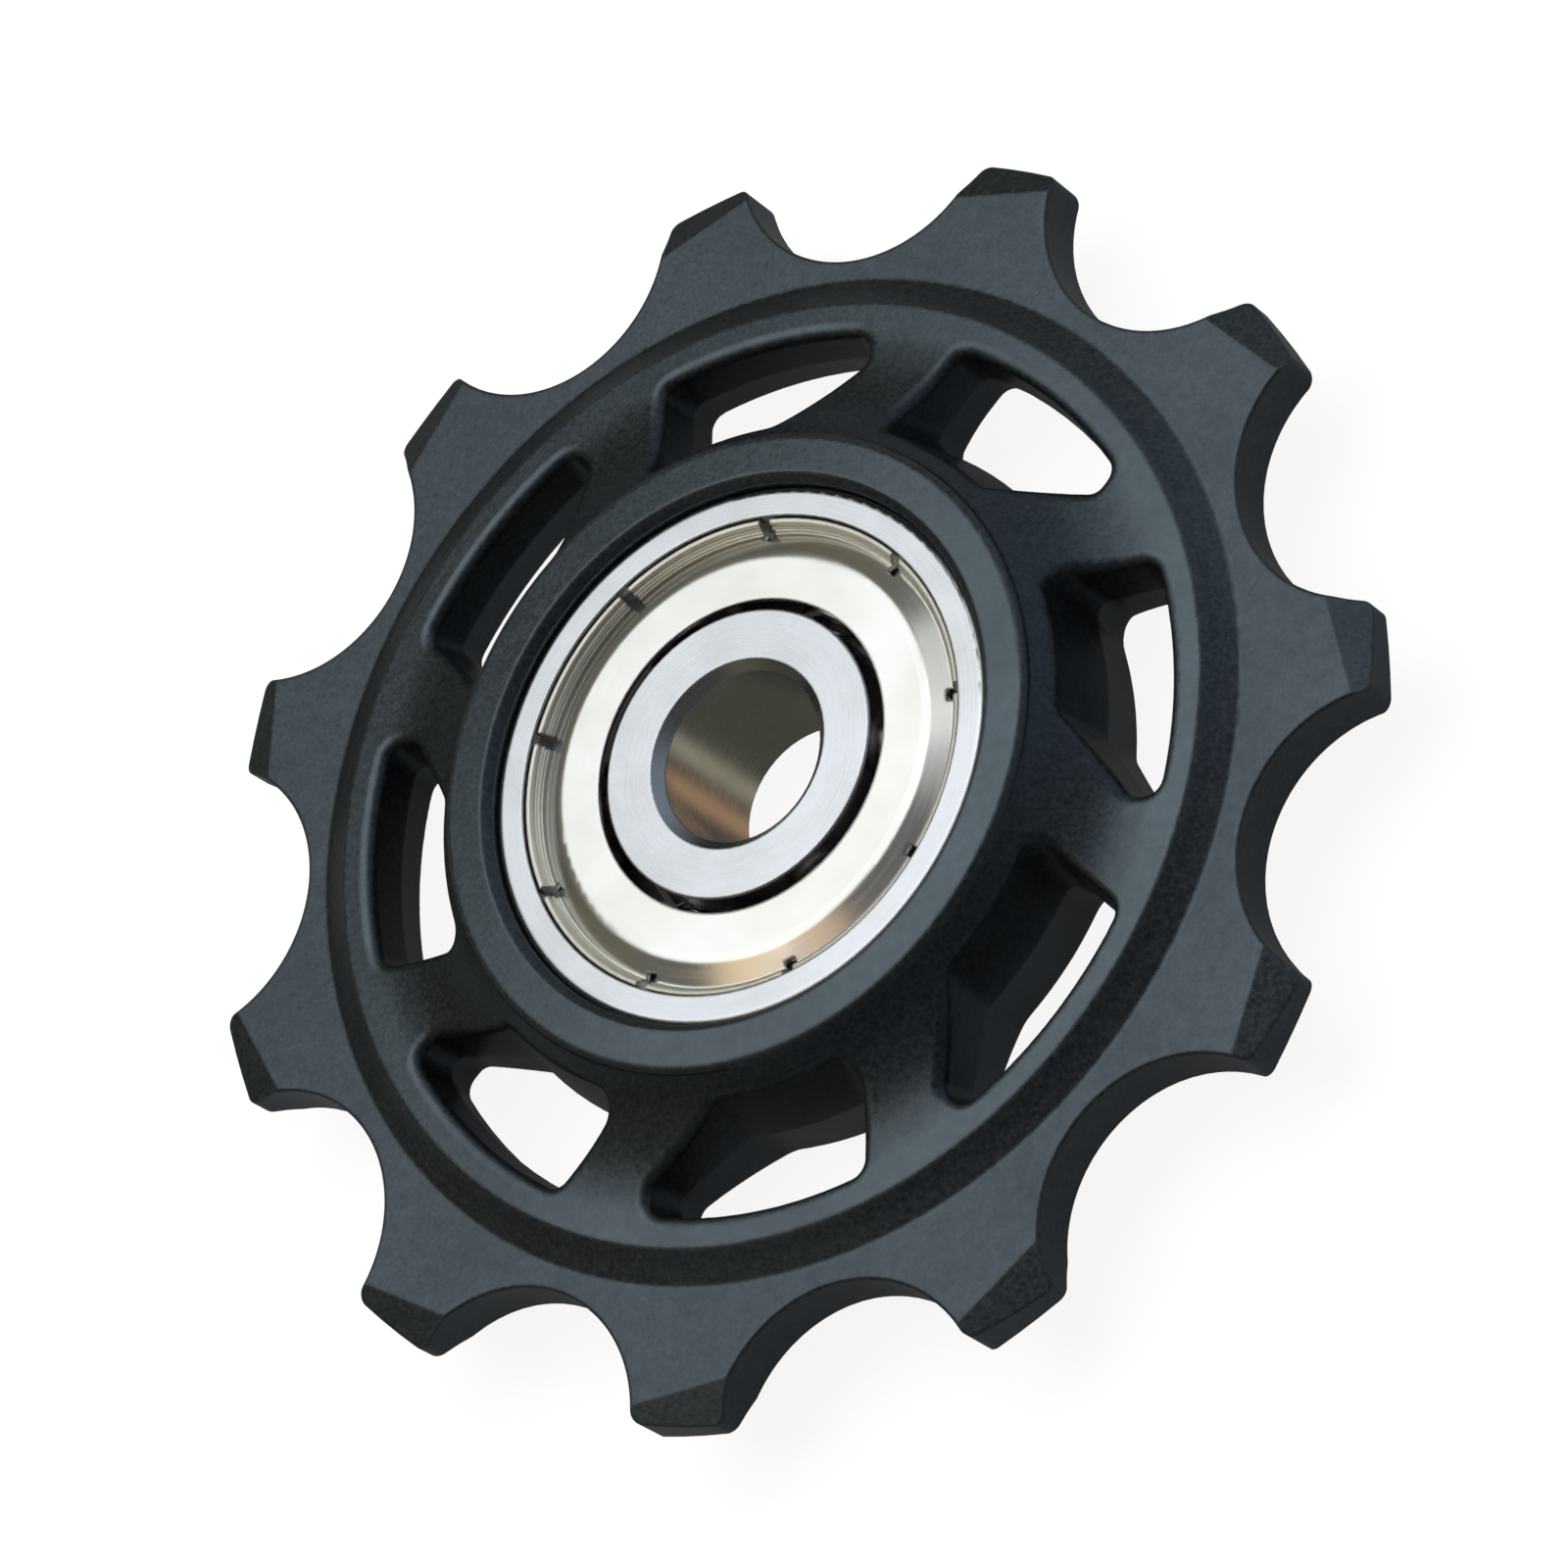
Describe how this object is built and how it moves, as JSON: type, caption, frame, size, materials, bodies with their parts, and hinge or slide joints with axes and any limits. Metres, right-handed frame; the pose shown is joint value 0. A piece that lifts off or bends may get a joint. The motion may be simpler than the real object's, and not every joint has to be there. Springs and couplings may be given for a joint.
{
  "type": "derailleur jockey wheel",
  "caption": "Toothed chain guide wheel with a slotted web, turning on a shielded ball bearing pressed into its hub.",
  "frame": {"origin": "the wheel's centre on the axle, half-way through the tooth plate", "axes": "+Z along the axle, out of the shielded front; +X through the middle of a tooth; it lies on the rear face of its hub"},
  "size_m": [0.044, 0.0444, 0.007],
  "materials": {
    "wheel_resin": "matte black moulded resin with a fine grain",
    "ring_steel": "fine ground bearing steel",
    "shield_steel": "satin pressed sheet",
    "cage_steel": "bright pressed sheet",
    "ball_steel": "polished"
  },
  "bodies": {
    "inner_ring": {"bearing_inner_ring": "ring_steel"},
    "wheel": {"pulley_wheel": "wheel_resin", "bearing_outer_ring": "ring_steel", "front_shield": "shield_steel"},
    "cage": {"cage_front_half": "cage_steel", "cage_rear_half": "cage_steel"},
    "ball_1": {"ball_1": "ball_steel"},
    "ball_2": {"ball_2": "ball_steel"},
    "ball_3": {"ball_3": "ball_steel"},
    "ball_4": {"ball_4": "ball_steel"},
    "ball_5": {"ball_5": "ball_steel"},
    "ball_6": {"ball_6": "ball_steel"}
  },
  "joints": [
    {"name": "wheel_spin", "type": "hinge", "parent": "inner_ring", "child": "wheel", "pos_m": [0, 0, 0], "axis": [0, 0, 1], "continuous": true},
    {"name": "cage_spin", "type": "hinge", "parent": "inner_ring", "child": "cage", "pos_m": [0, 0, 0], "axis": [0, 0, 1], "continuous": true},
    {"name": "ball_1_spin", "type": "hinge", "parent": "cage", "child": "ball_1", "pos_m": [0.00625, 0, 0], "axis": [0, 0, 1], "continuous": true},
    {"name": "ball_2_spin", "type": "hinge", "parent": "cage", "child": "ball_2", "pos_m": [0.00313, 0.00541, 0], "axis": [0, 0, 1], "continuous": true},
    {"name": "ball_3_spin", "type": "hinge", "parent": "cage", "child": "ball_3", "pos_m": [-0.00313, 0.00541, 0], "axis": [0, 0, 1], "continuous": true},
    {"name": "ball_4_spin", "type": "hinge", "parent": "cage", "child": "ball_4", "pos_m": [-0.00625, 0, 0], "axis": [0, 0, 1], "continuous": true},
    {"name": "ball_5_spin", "type": "hinge", "parent": "cage", "child": "ball_5", "pos_m": [-0.00313, -0.00541, 0], "axis": [0, 0, 1], "continuous": true},
    {"name": "ball_6_spin", "type": "hinge", "parent": "cage", "child": "ball_6", "pos_m": [0.00313, -0.00541, 0], "axis": [0, 0, 1], "continuous": true}
  ],
  "couplings": [
    {"joint": "cage_spin", "follows": "wheel_spin", "ratio": 0.64},
    {"joint": "ball_1_spin", "follows": "wheel_spin", "ratio": 1.6457},
    {"joint": "ball_2_spin", "follows": "wheel_spin", "ratio": 1.6457},
    {"joint": "ball_3_spin", "follows": "wheel_spin", "ratio": 1.6457},
    {"joint": "ball_4_spin", "follows": "wheel_spin", "ratio": 1.6457},
    {"joint": "ball_5_spin", "follows": "wheel_spin", "ratio": 1.6457},
    {"joint": "ball_6_spin", "follows": "wheel_spin", "ratio": 1.6457}
  ]
}
